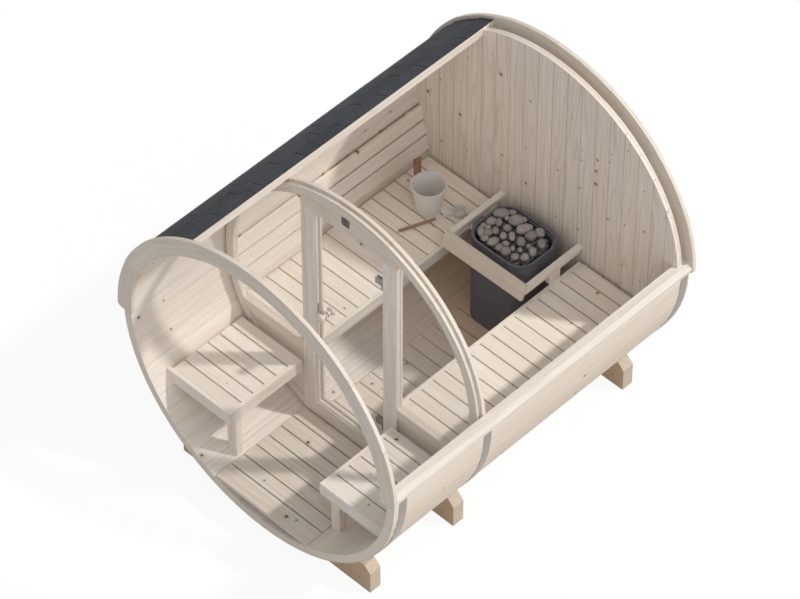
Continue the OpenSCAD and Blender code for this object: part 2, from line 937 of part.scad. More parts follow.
module heater_body() {
    inset = heater_rim + heater_ledge;
    color("DimGray")
        translate([0, heater_y, room_floor_h])
            difference() {
                linear_extrude(heater_h)
                    round_rect(heater_w, heater_d, heater_round);
                translate([0, 0, heater_h - ledge_d])
                    linear_extrude(ledge_d + over)
                        round_rect(heater_w - 2 * heater_rim, heater_d - 2 * heater_rim, heater_round - heater_rim);
                translate([0, 0, heater_h - basket_d])
                    linear_extrude(basket_d + over)
                        round_rect(heater_w - 2 * inset, heater_d - 2 * inset, heater_round - inset);
            }
}

module heater_stones() {
    inset = heater_rim + heater_ledge + stone_gap;
    color("SlateGray")
        translate([0, heater_y, room_floor_h + heater_h - basket_d])
            linear_extrude(basket_d + stone_rise)
                round_rect(heater_w - 2 * inset, heater_d - 2 * inset, heater_round - inset);
}

// a shape drawn in y and z, stretched between two x values
module prism_x(x0, x1) {
    translate([x0, 0, 0])
        rotate([90, 0, 90])
            linear_extrude(x1 - x0)
                children();
}

// the leaning outline of the guard plank
module plank_outline() {
    translate([plank_y, plank_z])
        rotate(-plank_lean)
            square([plank_t, plank_w]);
}

module guard_plank() {
    color("Wheat")
        prism_x(-plank_half, plank_half)
            plank_outline();
}

module guard_rails() {
    plank_back = plank_y + (plank_t + joint) / cos(plank_lean);
    y_low = plank_back + (guard_z - plank_z) * tan(plank_lean);
    y_top = plank_back + (guard_z + guard_h - plank_z) * tan(plank_lean);
    color("Wheat")
        for (s = [-1, 1]) {
            prism_x(min(s * guard_x, s * (guard_x - guard_w)), max(s * guard_x, s * (guard_x - guard_w)))
                polygon([[y_low, guard_z], [wall_y, guard_z], [wall_y, guard_z + guard_h],
                    [y_top, guard_z + guard_h]]);
            prism_y(wall_y - block_back - block_l, wall_y - block_back)
                rect(s * (guard_x - block_w), s * guard_x, seat_h, guard_z - joint);
        }
}

module pail() {
    color("LightGray")
        translate([-pail_x, wall_y - pail_back, seat_h])
            rotate_extrude()
                polygon([[0, 0], [pail_r_low, 0], [pail_r_top, pail_h], [pail_r_top - pail_wall, pail_h],
                    [pail_r_low - pail_wall, pail_wall], [0, pail_wall]]);
}

module pail_handle() {
    flare = pail_r_top - pail_r_low;
    color("SaddleBrown")
        translate([-pail_x, wall_y - pail_back, seat_h])
            rotate([0, 0, stave_turn])
                translate([pail_r_low + joint, 0, 0])
                    prism_y(-stave_w / 2, stave_w / 2)
                        polygon([[0, joint], [stave_thick, joint], [stave_thick + flare, pail_h],
                            [stave_thick + flare, pail_h + stave_up], [flare, pail_h + stave_up],
                            [flare, pail_h]]);
}

module ladle() {
    rise = asin((bowl_h - shank_r - grip_r) / (shank_l + grip_l));
    translate([-bowl_x, wall_y - bowl_back, seat_h]) {
        color("LightGray")
            rotate_extrude()
                polygon([[0, 0], [bowl_r_low, 0], [bowl_r, bowl_h], [bowl_r - bowl_wall, bowl_h],
                    [bowl_r_low - bowl_wall, bowl_wall], [0, bowl_wall]]);
        rotate([0, 0, -ladle_turn])
            translate([0, -bowl_r + bowl_wall / 2, bowl_h - shank_r])
                rotate([90 + rise, 0, 0]) {
                    color("LightGray")
                        cylinder(h = shank_l, r = shank_r);
                    color("SaddleBrown")
                        translate([0, 0, shank_l])
                            cylinder(h = grip_l, r = grip_r);
                }
    }
}

module hinge_brackets() {
    color("Silver")
        for (h = hinge_h) {
            translate([hinge_x, hinge_y, h - hinge_half - hinge_gap])
                cylinder(h = 2 * (hinge_half + hinge_gap), r = pin_r);
            for (s = [-1, 1]) {
                z0 = h + (s > 0 ? hinge_half + hinge_gap : -hinge_half - hinge_gap - lug_h);
                translate([hinge_x, hinge_y, z0])
                    cylinder(h = lug_h, r = hinge_r);
                translate([hinge_x, hinge_y - hinge_r, z0])
                    cube([hinge_in, 2 * hinge_r, lug_h]);
            }
        }
}

module door_glass() {
    color("LightCyan", 0.35)
        prism_y(glass_y, glass_y + door_t)
            rect(door_x0, door_x1, door_z0, door_z1);
}

module door_hinges() {
    plate_x = hinge_x - hinge_r - hinge_gap;
    color("Silver")
        for (h = hinge_h) {
            difference() {
                union() {
                    translate([hinge_x, hinge_y, h - hinge_half])
                        cylinder(h = 2 * hinge_half, r = hinge_r);
                    translate([plate_x, hinge_y, h - hinge_half])
                        cube([hinge_x - plate_x, hinge_r, 2 * hinge_half]);
                }
                translate([hinge_x, hinge_y, h - hinge_half - over])
                    cylinder(h = 2 * (hinge_half + over), r = pin_r + pin_play);
            }
            translate([plate_x - clamp_l, hinge_y, h - hinge_half])
                cube([clamp_l, glass_y - hinge_y, 2 * hinge_half]);
            translate([plate_x - clamp_l, glass_y + door_t, h - hinge_half])
                cube([clamp_l, hinge_r, 2 * hinge_half]);
        }
}

// a turned knob on each face of the glass
module door_handle() {
    color("Wheat")
        for (s = [-1, 1])
            translate([door_x0 + knob_in, s < 0 ? glass_y : glass_y + door_t, knob_h])
                rotate([s * -90, 0, 0])
                    rotate_extrude()
                        polygon([[0, 0], [rose_r, 0], [rose_r, rose_t], [knob_neck_r, rose_t + 2],
                            [knob_neck_r, knob_out * 0.4], [knob_r, knob_out * 0.65], [knob_r, knob_out * 0.84],
                            [knob_r * 0.76, knob_out], [0, knob_out]]);
}

cradle(0);  // cradle_front
cradle(1);  // cradle_middle
cradle(2);  // cradle_back
staves(0, 11);  // shell_left_upper
staves(12, 22);  // shell_left_lower
staves(23, 33);  // shell_bottom
staves(34, stave_count - 1);  // shell_right
hoops();
roof_shingles();
eaves_battens();
arch(front_y);  // front_arch
arch(-front_y - arch_t);  // back_arch
back_wall();
back_ring();
partition_arch();
partition_sides();
door_header();
door_posts();
door_sill();
door_catch();
bay_rails();
bay_panels();
side_glass();
vent_grille();
porch_floor();
room_floor();
floor_bearers();
porch_bench_frame(-1);  // porch_bench_left_frame
porch_bench_slats(-1);  // porch_bench_left_slats
porch_bench_frame(1);  // porch_bench_right_frame
porch_bench_slats(1);  // porch_bench_right_slats
bench_frame(-1);  // bench_left_frame
bench_slats(-1);  // bench_left_slats
bench_frame(1);  // bench_right_frame
bench_slats(1);  // bench_right_slats
backrest_boards();
backrest_supports();
heater_body();
heater_stones();
guard_plank();
guard_rails();
pail();
pail_handle();
ladle();
hinge_brackets();
door_glass();
door_hinges();
door_handle();
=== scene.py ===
import bpy
import bmesh
import math
import random
from mathutils import Matrix, Vector, noise


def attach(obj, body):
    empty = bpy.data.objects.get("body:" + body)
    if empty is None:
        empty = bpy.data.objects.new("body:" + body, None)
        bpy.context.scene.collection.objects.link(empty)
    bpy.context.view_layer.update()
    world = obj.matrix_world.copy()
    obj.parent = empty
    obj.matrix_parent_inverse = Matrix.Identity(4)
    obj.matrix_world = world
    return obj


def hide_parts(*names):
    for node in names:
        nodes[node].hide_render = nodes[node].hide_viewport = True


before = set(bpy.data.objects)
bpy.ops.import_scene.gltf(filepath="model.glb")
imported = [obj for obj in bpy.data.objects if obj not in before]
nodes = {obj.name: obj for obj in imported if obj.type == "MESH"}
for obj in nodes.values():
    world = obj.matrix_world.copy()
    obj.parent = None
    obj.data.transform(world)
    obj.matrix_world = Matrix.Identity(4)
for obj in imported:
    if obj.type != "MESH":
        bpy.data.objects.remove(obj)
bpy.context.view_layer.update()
scene = bpy.context.scene
scene.view_settings.view_transform = "Standard"
print("frame loaded:", len(nodes), "nodes")

# the barrel's sizes that several pieces share, in metres and degrees
barrel = dict(axis=1.170, outer=1.108, inner=1.050, cutRight=4.5, cutLeft=117.0, staveStep=5.5,
              yFront=-1.275, yBack=1.275, archThick=0.025, archStep=22.5)

# camera at the photo's angle
photoView = dict(place=(12.466, -12.896, 20.925), aim=(-0.036, -0.0265, 1.066),
                 lens=203.85, sensor=36.0, farEnd=300.0)
cameraData = bpy.data.cameras.new("photo_camera")
cameraData.sensor_fit = "HORIZONTAL"
cameraData.sensor_width = photoView["sensor"]
cameraData.lens = photoView["lens"]
cameraData.clip_end = photoView["farEnd"]
camera = bpy.data.objects.new("photo_camera", cameraData)
camera.location = photoView["place"]
lookLine = Vector(photoView["aim"]) - Vector(photoView["place"])
camera.rotation_euler = lookLine.to_track_quat("-Z", "Y").to_euler()
scene.collection.objects.link(camera)
scene.camera = camera
print("camera set")


# small helpers for node trees
def addNode(tree, kind, **settings):
    node = tree.nodes.new(kind)
    for key, value in settings.items():
        setattr(node, key, value)
    return node


def feed(tree, socket, value):
    if isinstance(value, bpy.types.NodeSocket):
        tree.links.new(value, socket)
    else:
        socket.default_value = value


def calc(tree, how, a, b=0.0, c=0.0):
    node = addNode(tree, "ShaderNodeMath", operation=how)
    for socket, value in zip(node.inputs, (a, b, c)):
        feed(tree, socket, value)
    return node.outputs[0]


def times(tree, a, b):
    return calc(tree, "MULTIPLY", a, b)


def minus(tree, a, b):
    return calc(tree, "SUBTRACT", a, b)


def timesPlus(tree, a, b, c):  # a * b + c
    return calc(tree, "MULTIPLY_ADD", a, b, c)


def triple(tree, x, y, z):
    node = addNode(tree, "ShaderNodeCombineXYZ")
    for socket, value in zip(node.inputs, (x, y, z)):
        feed(tree, socket, value)
    return node.outputs[0]


def stretched(tree, x, y, z, scales):
    return triple(tree, times(tree, x, scales[0]), times(tree, y, scales[1]), times(tree, z, scales[2]))


def fade(tree, value, low, high, toLow=0.0, toHigh=1.0):
    node = addNode(tree, "ShaderNodeMapRange", interpolation_type="SMOOTHSTEP")
    for socket, item in zip(node.inputs, (value, low, high, toLow, toHigh)):
        feed(tree, socket, item)
    return node.outputs[0]


def blendColor(tree, share, a, b, how="MIX"):
    node = addNode(tree, "ShaderNodeMix", data_type="RGBA", blend_type=how)
    feed(tree, node.inputs[0], share)
    feed(tree, node.inputs[6], a)
    feed(tree, node.inputs[7], b)
    return node.outputs[2]


def toneColor(tree, red, green, blue):
    node = addNode(tree, "ShaderNodeCombineColor")
    for socket, value in zip(node.inputs, (red, green, blue)):
        feed(tree, socket, value)
    return node.outputs[0]


def speckle(tree, vector, scale, detail=2.0, rough=0.5):
    node = addNode(tree, "ShaderNodeTexNoise", noise_dimensions="3D")
    feed(tree, node.inputs["Vector"], vector)
    node.inputs["Scale"].default_value = scale
    node.inputs["Detail"].default_value = detail
    node.inputs["Roughness"].default_value = rough
    return node.outputs[0]


def srgb(r, g, b):
    parts = []
    for value in (r, g, b):
        value = value / 255.0
        parts.append(value / 12.92 if value <= 0.04045 else ((value + 0.055) / 1.055) ** 2.4)
    return (*parts, 1.0)


def newMaterial(name):
    material = bpy.data.materials.new(name)
    material.use_nodes = True
    tree = material.node_tree
    shader = tree.nodes["Principled BSDF"]
    place = addNode(tree, "ShaderNodeTexCoord")
    parts = addNode(tree, "ShaderNodeSeparateXYZ")
    tree.links.new(place.outputs["Object"], parts.inputs[0])
    return material, tree, shader, place, parts.outputs


def addBump(tree, shader, height, strength, distance):
    bump = addNode(tree, "ShaderNodeBump")
    bump.inputs["Strength"].default_value = strength
    bump.inputs["Distance"].default_value = distance
    tree.links.new(height, bump.inputs["Height"])
    tree.links.new(bump.outputs[0], shader.inputs["Normal"])


# spruce: grain that bends round knots, flat-sawn figure, a tone for each board, year rings on the ends
spruceLook = dict(boardShift=(3.1, 2.7, 7.3), knotScale=8.0, knotSmall=0.0035, knotGrow=0.008,
                  knotSpread=1.5, knotPull=0.7, knotShare=0.9, haloShare=0.55, wander=0.045,
                  wanderScale=(2.0, 1.0, 0.9), streakScale=(46.0, 30.0, 0.8), fibreScale=(190.0, 120.0, 2.4),
                  flameScale=(11.0, 6.0, 0.9), flameReach=0.09, ringTurns=520.0, ringMean=0.3125,
                  fibreShare=0.62, streakShare=0.85, ground=0.19, toneLow=0.96, toneSpread=0.065,
                  warmSpread=0.025, jointDustShade=srgb(138, 104, 76), pith=0.6, endRings=1500.0, endLow=0.30,
                  endSpread=0.25)


def makeSpruceGroup():
    look = spruceLook
    tree = bpy.data.node_groups.new("spruceGrain", "ShaderNodeTree")
    for name in ("Across", "Depth", "Along", "Board", "End", "Seam", "Knots", "Figure"):
        tree.interface.new_socket(name, in_out="INPUT", socket_type="NodeSocketFloat")
    for name in ("Pale", "Deep", "Knot"):
        tree.interface.new_socket(name, in_out="INPUT", socket_type="NodeSocketColor")
    tree.interface.new_socket("Color", in_out="OUTPUT", socket_type="NodeSocketColor")
    tree.interface.new_socket("Roughness", in_out="OUTPUT", socket_type="NodeSocketFloat")
    tree.interface.new_socket("Height", in_out="OUTPUT", socket_type="NodeSocketFloat")
    given = addNode(tree, "NodeGroupInput").outputs
    put = addNode(tree, "NodeGroupOutput").inputs

    # each board is cut from another place in the log
    lot = addNode(tree, "ShaderNodeTexWhiteNoise", noise_dimensions="1D")
    tree.links.new(given["Board"], lot.inputs["W"])
    lots = addNode(tree, "ShaderNodeSeparateColor")
    tree.links.new(lot.outputs["Color"], lots.inputs[0])
    across, depth, along = [timesPlus(tree, lots.outputs[i], look["boardShift"][i], given[name])
                            for i, name in enumerate(("Across", "Depth", "Along"))]

    # knots are round branches that a board cuts through
    cells = addNode(tree, "ShaderNodeTexVoronoi", voronoi_dimensions="2D", feature="F1")
    cells.inputs["Scale"].default_value = look["knotScale"]
    tree.links.new(triple(tree, across, along, 0.0), cells.inputs["Vector"])
    luck = addNode(tree, "ShaderNodeSeparateColor")
    tree.links.new(cells.outputs["Color"], luck.inputs[0])
    isKnot = calc(tree, "LESS_THAN", luck.outputs[0], given["Knots"])
    spread = calc(tree, "POWER", luck.outputs[1], look["knotSpread"])
    radius = times(tree, timesPlus(tree, spread, look["knotGrow"], look["knotSmall"]), isKnot)
    away = calc(tree, "DIVIDE", cells.outputs["Distance"], look["knotScale"])
    knot = fade(tree, away, timesPlus(tree, radius, 1.2, 0.0002), times(tree, radius, 0.65))
    halo = fade(tree, away, timesPlus(tree, radius, 3.2, 0.0002), times(tree, radius, 0.9))

    # the grain flows round a knot
    reach = calc(tree, "DIVIDE", away, timesPlus(tree, radius, 2.4, 0.004))
    pull = calc(tree, "EXPONENT", times(tree, times(tree, reach, reach), -1.0))
    pull = times(tree, times(tree, pull, isKnot), look["knotPull"])
    centre = addNode(tree, "ShaderNodeSeparateXYZ")
    tree.links.new(cells.outputs["Position"], centre.inputs[0])
    offCentre = minus(tree, across, centre.outputs[0])
    bent = minus(tree, across, times(tree, offCentre, pull))

    # growth lines wander along the board, and close into long pointed arches
    drift = speckle(tree, stretched(tree, across, depth, along, look["wanderScale"]), 1.0)
    line = timesPlus(tree, drift, look["wander"], bent)
    streak = speckle(tree, stretched(tree, line, depth, along, look["streakScale"]), 1.0)
    fibre = speckle(tree, stretched(tree, line, depth, along, look["fibreScale"]), 1.0, 2.0, 0.6)
    flame = speckle(tree, stretched(tree, line, depth, along, look["flameScale"]), 1.0, 1.0)
    arch = timesPlus(tree, flame, look["flameReach"], timesPlus(tree, depth, 0.45, times(tree, line, 0.35)))
    turn = timesPlus(tree, arch, look["ringTurns"], times(tree, streak, 2.0))
    ring = timesPlus(tree, calc(tree, "SINE", turn), 0.5, 0.5)
    ring = times(tree, ring, times(tree, ring, ring))

    # pale to deep wood, then the board's own tone, knots, and painted shade with dust in the joints between
    # boards
    shade = timesPlus(tree, given["Figure"], -look["ringMean"], look["ground"])
    shade = timesPlus(tree, minus(tree, fibre, 0.5), look["fibreShare"], shade)
    shade = timesPlus(tree, minus(tree, streak, 0.5), look["streakShare"], shade)
    shade = timesPlus(tree, ring, given["Figure"], shade)
    shade = calc(tree, "MINIMUM", calc(tree, "MAXIMUM", shade, 0.0), 1.0)
    wood = blendColor(tree, shade, given["Pale"], given["Deep"])
    tone = timesPlus(tree, lots.outputs[1], look["toneSpread"], look["toneLow"])
    warm = timesPlus(tree, lots.outputs[0], -look["warmSpread"], 1.0)
    warmTone = times(tree, tone, warm)
    boardTone = toneColor(tree, tone, warmTone, times(tree, warmTone, warm))
    wood = blendColor(tree, 1.0, wood, boardTone, "MULTIPLY")
    wood = blendColor(tree, times(tree, halo, look["haloShare"]), wood, given["Deep"])
    wood = blendColor(tree, times(tree, knot, look["knotShare"]), wood, given["Knot"])
    # painted shade and dust darken the joints between boards
    wood = blendColor(tree, given["Seam"], wood, look["jointDustShade"])

    # the sawn ends show the year rings as arcs
    below = calc(tree, "POWER", calc(tree, "ADD", given["Depth"], look["pith"]), 2.0)
    fromPith = calc(tree, "SQRT", timesPlus(tree, given["Across"], given["Across"], below))
    arcs = timesPlus(tree, calc(tree, "SINE", times(tree, fromPith, look["endRings"])), 0.5, 0.5)
    endShade = timesPlus(tree, arcs, look["endSpread"], look["endLow"])
    wood = blendColor(tree, given["End"], wood, blendColor(tree, endShade, given["Pale"], given["Deep"]))
    tree.links.new(wood, put["Color"])
    tree.links.new(timesPlus(tree, knot, -0.15, timesPlus(tree, fibre, 0.2, 0.5)), put["Roughness"])
    tree.links.new(timesPlus(tree, knot, -0.3, timesPlus(tree, ring, 0.4, fibre)), put["Height"])
    return tree


spruceGroup = makeSpruceGroup()


# a layout gives (across, depth, along, board, end share, share of painted joint shade and dust) for the
# boards of one node
def straightBoards(alongAxis, acrossAxis, start=0.0, pitch=10.0, jointDustShade=0.0):
    depthAxis = [axis for axis in "XYZ" if axis not in (alongAxis, acrossAxis)][0]

    def layout(tree, place, parts):
        across = parts[acrossAxis]
        turned = calc(tree, "DIVIDE", minus(tree, across, start), pitch)
        board = calc(tree, "FLOOR", turned)
        line = jointDustShadeShare(tree, turned, pitch, jointDustShade) if jointDustShade else 0.0
        return across, parts[depthAxis], parts[alongAxis], board, facing(tree, place, alongAxis), line
    return layout


# painted shade with dust, darker where two boards meet, and which faces count as square on to an axis
boardEdge = dict(softAt=0.0045, darkAt=0.0005, squareOn=0.85)


def jointDustShadeShare(tree, turned, pitch, strength):
    toEdge = times(tree, calc(tree, "PINGPONG", turned, 0.5), pitch)
    return fade(tree, toEdge, boardEdge["softAt"], boardEdge["darkAt"], 0.0, strength)


def facing(tree, place, axis):
    normal = addNode(tree, "ShaderNodeSeparateXYZ")
    tree.links.new(place.outputs["Normal"], normal.inputs[0])
    share = calc(tree, "ABSOLUTE", normal.outputs[axis])
    return calc(tree, "GREATER_THAN", share, boardEdge["squareOn"])


# distance from the barrel's axis, and the angle round it from 0 to a full turn
def polarOf(tree, parts):
    rise = minus(tree, parts["Z"], barrel["axis"])
    far = calc(tree, "SQRT", timesPlus(tree, parts["X"], parts["X"], times(tree, rise, rise)))
    angle = calc(tree, "ARCTAN2", rise, parts["X"])
    full = calc(tree, "ADD", angle, times(tree, calc(tree, "LESS_THAN", angle, 0.0), 2 * math.pi))
    return far, full


# staves are counted from the left cut, round under the barrel to the right cut
# how strongly the joints between staves get painted shade and dust, and which staves have such joints
staveJointDustShade = dict(strength=0.14, first=0.4, last=44.6, wrapUnder=60.0)


def staveBoards(tree, place, parts):
    far, angle = polarOf(tree, parts)
    step = math.radians(barrel["staveStep"])
    past = calc(tree, "LESS_THAN", angle, math.radians(staveJointDustShade["wrapUnder"]))
    late = calc(tree, "ADD", times(tree, past, 2 * math.pi), angle)
    turned = calc(tree, "DIVIDE", minus(tree, late, math.radians(barrel["cutLeft"])), step)
    across = times(tree, angle, barrel["inner"])
    between = times(tree, calc(tree, "GREATER_THAN", turned, staveJointDustShade["first"]),
                    calc(tree, "LESS_THAN", turned, staveJointDustShade["last"]))
    line = times(tree, jointDustShadeShare(tree, turned, step * barrel["inner"], staveJointDustShade["strength"]), between)
    return across, far, parts["Y"], calc(tree, "FLOOR", turned), facing(tree, place, "Y"), line


# boards sawn to a curve: the grain runs straight along each one's chord
def curvedBoards(start, seed, step=barrel["archStep"], jointDustShade=0.18):
    def layout(tree, place, parts):
        far, angle = polarOf(tree, parts)
        turned = calc(tree, "DIVIDE", minus(tree, angle, math.radians(start)), math.radians(step))
        board = calc(tree, "FLOOR", turned)
        middle = timesPlus(tree, calc(tree, "ADD", board, 0.5), math.radians(step), math.radians(start))
        swing = minus(tree, angle, middle)
        along = times(tree, far, calc(tree, "SINE", swing))
        across = times(tree, far, calc(tree, "COSINE", swing))
        line = jointDustShadeShare(tree, turned, math.radians(step) * barrel["outer"], jointDustShade)
        return across, parts["Y"], along, calc(tree, "ADD", board, seed), 0.0, line
    return layout


# a porch bench's frame: a rail along the front, a rail along the side, and a leg
def benchFrame(xRail, yRail, legTop):
    def layout(tree, place, parts):
        front = calc(tree, "LESS_THAN", parts["Y"], yRail)
        leg = times(tree, calc(tree, "LESS_THAN", parts["Z"], legTop),
                    calc(tree, "GREATER_THAN", parts["Y"], yRail))
        side = minus(tree, minus(tree, 1.0, front), leg)

        def pick(forFront, forLeg, forSide):
            total = times(tree, front, forFront)
            total = timesPlus(tree, leg, forLeg, total)
            return timesPlus(tree, side, forSide, total)
        across = pick(parts["Z"], parts["X"], parts["Z"])
        depth = pick(parts["Y"], parts["Y"], parts["X"])
        along = pick(parts["X"], parts["Z"], parts["Y"])
        end = pick(facing(tree, place, "X"), facing(tree, place, "Z"), facing(tree, place, "Y"))
        outer = calc(tree, "GREATER_THAN", calc(tree, "ABSOLUTE", parts["X"]), xRail)
        board = pick(1.0, 2.0, calc(tree, "ADD", 3.0, outer))
        return across, depth, along, board, end, 0.0
    return layout


# colours of the timber's finishes, with the warm colour of painted bounce shade and the darker tint for the
# barrel's outside
timber = dict(pale=srgb(242, 236, 229), deep=srgb(215, 196, 175), knot=srgb(88, 56, 36),
              calmPale=srgb(248, 241, 232), calmDeep=srgb(228, 211, 191),
              edgePale=srgb(230, 223, 214), edgeDeep=srgb(204, 185, 163),
              sawnPale=srgb(209, 187, 164), sawnDeep=srgb(169, 138, 109),
              dryPale=srgb(203, 190, 174), dryDeep=srgb(184, 167, 148),
              oiledPale=srgb(160, 124, 100), oiledDeep=srgb(116, 84, 64),
              gripPale=srgb(158, 132, 112), gripDeep=srgb(118, 94, 76),
              bounce=(1.0, 0.86, 0.72, 1.0), lowTint=(0.86, 0.77, 0.67, 1.0))

# painted bounce shade: timber under the benches and towards the back of the room is painted warmer and
# darker, for the warm light that bounces between the boards there; the barrel's outside is tinted darker and
# warmer lower down
paintedBounceAndTint = dict(skin=0.01, underFrom=0.85, underTo=0.5, roomFrom=0.0, roomTo=0.5, floorFrom=0.1, floorTo=0.65,
              strongestBounce=0.9, tintFrom=1.25, tintTo=0.85, leastTint=0.05, mostTint=0.66)


def staveBounceShadeAndTint(tree, place, parts, colour):
    far, angle = polarOf(tree, parts)
    outside = calc(tree, "GREATER_THAN", far, barrel["outer"] - paintedBounceAndTint["skin"])
    inside = minus(tree, 1.0, outside)
    low = fade(tree, parts["Z"], paintedBounceAndTint["underFrom"], paintedBounceAndTint["underTo"])
    room = fade(tree, parts["Y"], paintedBounceAndTint["roomFrom"], paintedBounceAndTint["roomTo"], 0.0, paintedBounceAndTint["strongestBounce"])
    # painted bounce shade on the inside of the staves low down in the room
    underShade = times(tree, times(tree, low, room), inside)
    colour = blendColor(tree, underShade, colour, timber["bounce"], "MULTIPLY")
    # the outside of the barrel is tinted darker and warmer lower down
    tintShare = fade(tree, parts["Z"], paintedBounceAndTint["tintFrom"], paintedBounceAndTint["tintTo"],
                paintedBounceAndTint["leastTint"], paintedBounceAndTint["mostTint"])
    return blendColor(tree, times(tree, tintShare, outside), colour, timber["lowTint"], "MULTIPLY")


# painted bounce shade: the room floor gets warmer and darker towards the back
def floorBounceShade(tree, place, parts, colour):
    share = fade(tree, parts["Y"], paintedBounceAndTint["floorFrom"], paintedBounceAndTint["floorTo"], 0.0, paintedBounceAndTint["strongestBounce"])
    return blendColor(tree, share, colour, timber["bounce"], "MULTIPLY")


def cradleSideShade(tree, place, parts, colour):  # painted shade: the long faces, front and back, are browner than the ends
    return blendColor(tree, facing(tree, place, "Y"), colour, timber["bounce"], "MULTIPLY")


def spruce(name, layout, knots, finish=("pale", "deep"), bump=0.12, shadeAndTint=None, figure=0.2):
    material, tree, shader, place, parts = newMaterial(name)
    grain = addNode(tree, "ShaderNodeGroup", node_tree=spruceGroup)
    sockets = ("Across", "Depth", "Along", "Board", "End", "Seam")
    for socket, value in zip(sockets, layout(tree, place, parts)):
        feed(tree, grain.inputs[socket], value)
    grain.inputs["Knots"].default_value = knots
    grain.inputs["Figure"].default_value = figure
    grain.inputs["Pale"].default_value = timber[finish[0]]
    grain.inputs["Deep"].default_value = timber[finish[1]]
    grain.inputs["Knot"].default_value = timber["knot"]
    colour = grain.outputs["Color"]
    if shadeAndTint:
        colour = shadeAndTint(tree, place, parts, colour)
    tree.links.new(colour, shader.inputs["Base Color"])
    tree.links.new(grain.outputs["Roughness"], shader.inputs["Roughness"])
    shader.inputs["Specular IOR Level"].default_value = 0.3
    addBump(tree, shader, grain.outputs["Height"], bump, 0.0006)
    return material


# points closer than weld join, and then edges sharper than this many degrees are rounded
rounding = dict(weld=0.00002, sharpFrom=35.0)


def dress(nodeName, material, edge=0.0, steps=2):
    piece = nodes[nodeName]
    piece.data.materials.clear()
    piece.data.materials.append(material)
    if edge:
        weld = piece.modifiers.new("weld", "WELD")
        weld.merge_threshold = rounding["weld"]
        bevel = piece.modifiers.new("rounded_edges", "BEVEL")
        bevel.width = edge
        bevel.segments = steps
        bevel.limit_method = "ANGLE"
        bevel.angle_limit = math.radians(rounding["sharpFrom"])
        bevel.use_clamp_overlap = True
        even = piece.modifiers.new("even_shading", "WEIGHTED_NORMAL")
        even.keep_sharp = False


# start and pitch of each set of boards, and where a porch bench's frame changes from rail to leg, in metres
boards = dict(wall=(-1.08775, 0.1145), porch=(-1.245, 0.1038), room=(-0.437, 0.1069),
              porchSeat=(-1.094, 0.0973), seat=(-0.3625, 0.1005), rest=(0.81, 0.113),
              post=(-0.5, 0.5), rail=(0.0, 0.7), cross=(0.0, 0.33), bearer=(0.0, 0.3))
porchFrame = dict(xRail=0.4, yRail=-1.0938, legTop=0.5615)
edgeFinish = ("edgePale", "edgeDeep")
calmFinish = ("calmPale", "calmDeep")

staveWood = spruce("stave_wood", staveBoards, knots=0.15, shadeAndTint=staveBounceShadeAndTint, figure=0.18)
archWood = spruce("arch_wood", curvedBoards(start=0.0, seed=3.0), knots=0.05, finish=edgeFinish, figure=0.12)
ringWood = spruce("ring_wood", curvedBoards(start=barrel["cutRight"], seed=40.0), knots=0.04,
                  finish=edgeFinish, figure=0.12)
wallWood = spruce("wall_wood", straightBoards("Z", "X", *boards["wall"], jointDustShade=0.42), knots=0.24, figure=0.38)
floorWood = spruce("porch_floor_wood", straightBoards("X", "Y", *boards["porch"]), knots=0.2,
                   finish=edgeFinish, figure=0.3)
roomWood = spruce("room_floor_wood", straightBoards("X", "Y", *boards["room"]), knots=0.2,
                  finish=calmFinish, shadeAndTint=floorBounceShade, figure=0.3)
porchSeatWood = spruce("porch_seat_wood", straightBoards("X", "Y", *boards["porchSeat"]), knots=0.18,
                       figure=0.15)
seatWood = spruce("seat_wood", straightBoards("X", "Y", *boards["seat"]), knots=0.07,
                  finish=calmFinish, figure=0.15)
railWood = spruce("rail_wood", straightBoards("Y", "Z", *boards["rail"]), knots=0.14)
battenWood = spruce("batten_wood", straightBoards("Y", "Z", *boards["rail"]), knots=0.08, finish=edgeFinish)
restWood = spruce("backrest_wood", straightBoards("Y", "Z", *boards["rest"]), knots=0.1, figure=0.15)
postWood = spruce("post_wood", straightBoards("Z", "X", *boards["post"]), knots=0.04,
                  finish=("pale", "edgeDeep"))
crossWood = spruce("cross_wood", straightBoards("X", "Z", *boards["cross"]), knots=0.07, finish=edgeFinish)
porchFrameWood = spruce("porch_frame_wood", benchFrame(**porchFrame), knots=0.1)
sawnWood = spruce("sawn_wood", straightBoards("X", "Z"), knots=0.12, finish=("dryPale", "dryDeep"),
                  bump=0.25, shadeAndTint=cradleSideShade)
bearerWood = spruce("bearer_wood", straightBoards("Y", "X", *boards["bearer"]), knots=0.1,
                    finish=("sawnPale", "sawnDeep"), bump=0.25)
oiledWood = spruce("oiled_wood", straightBoards("Z", "X"), knots=0.0, finish=("oiledPale", "oiledDeep"))
turnedWood = spruce("turned_wood", straightBoards("Y", "X"), knots=0.0)

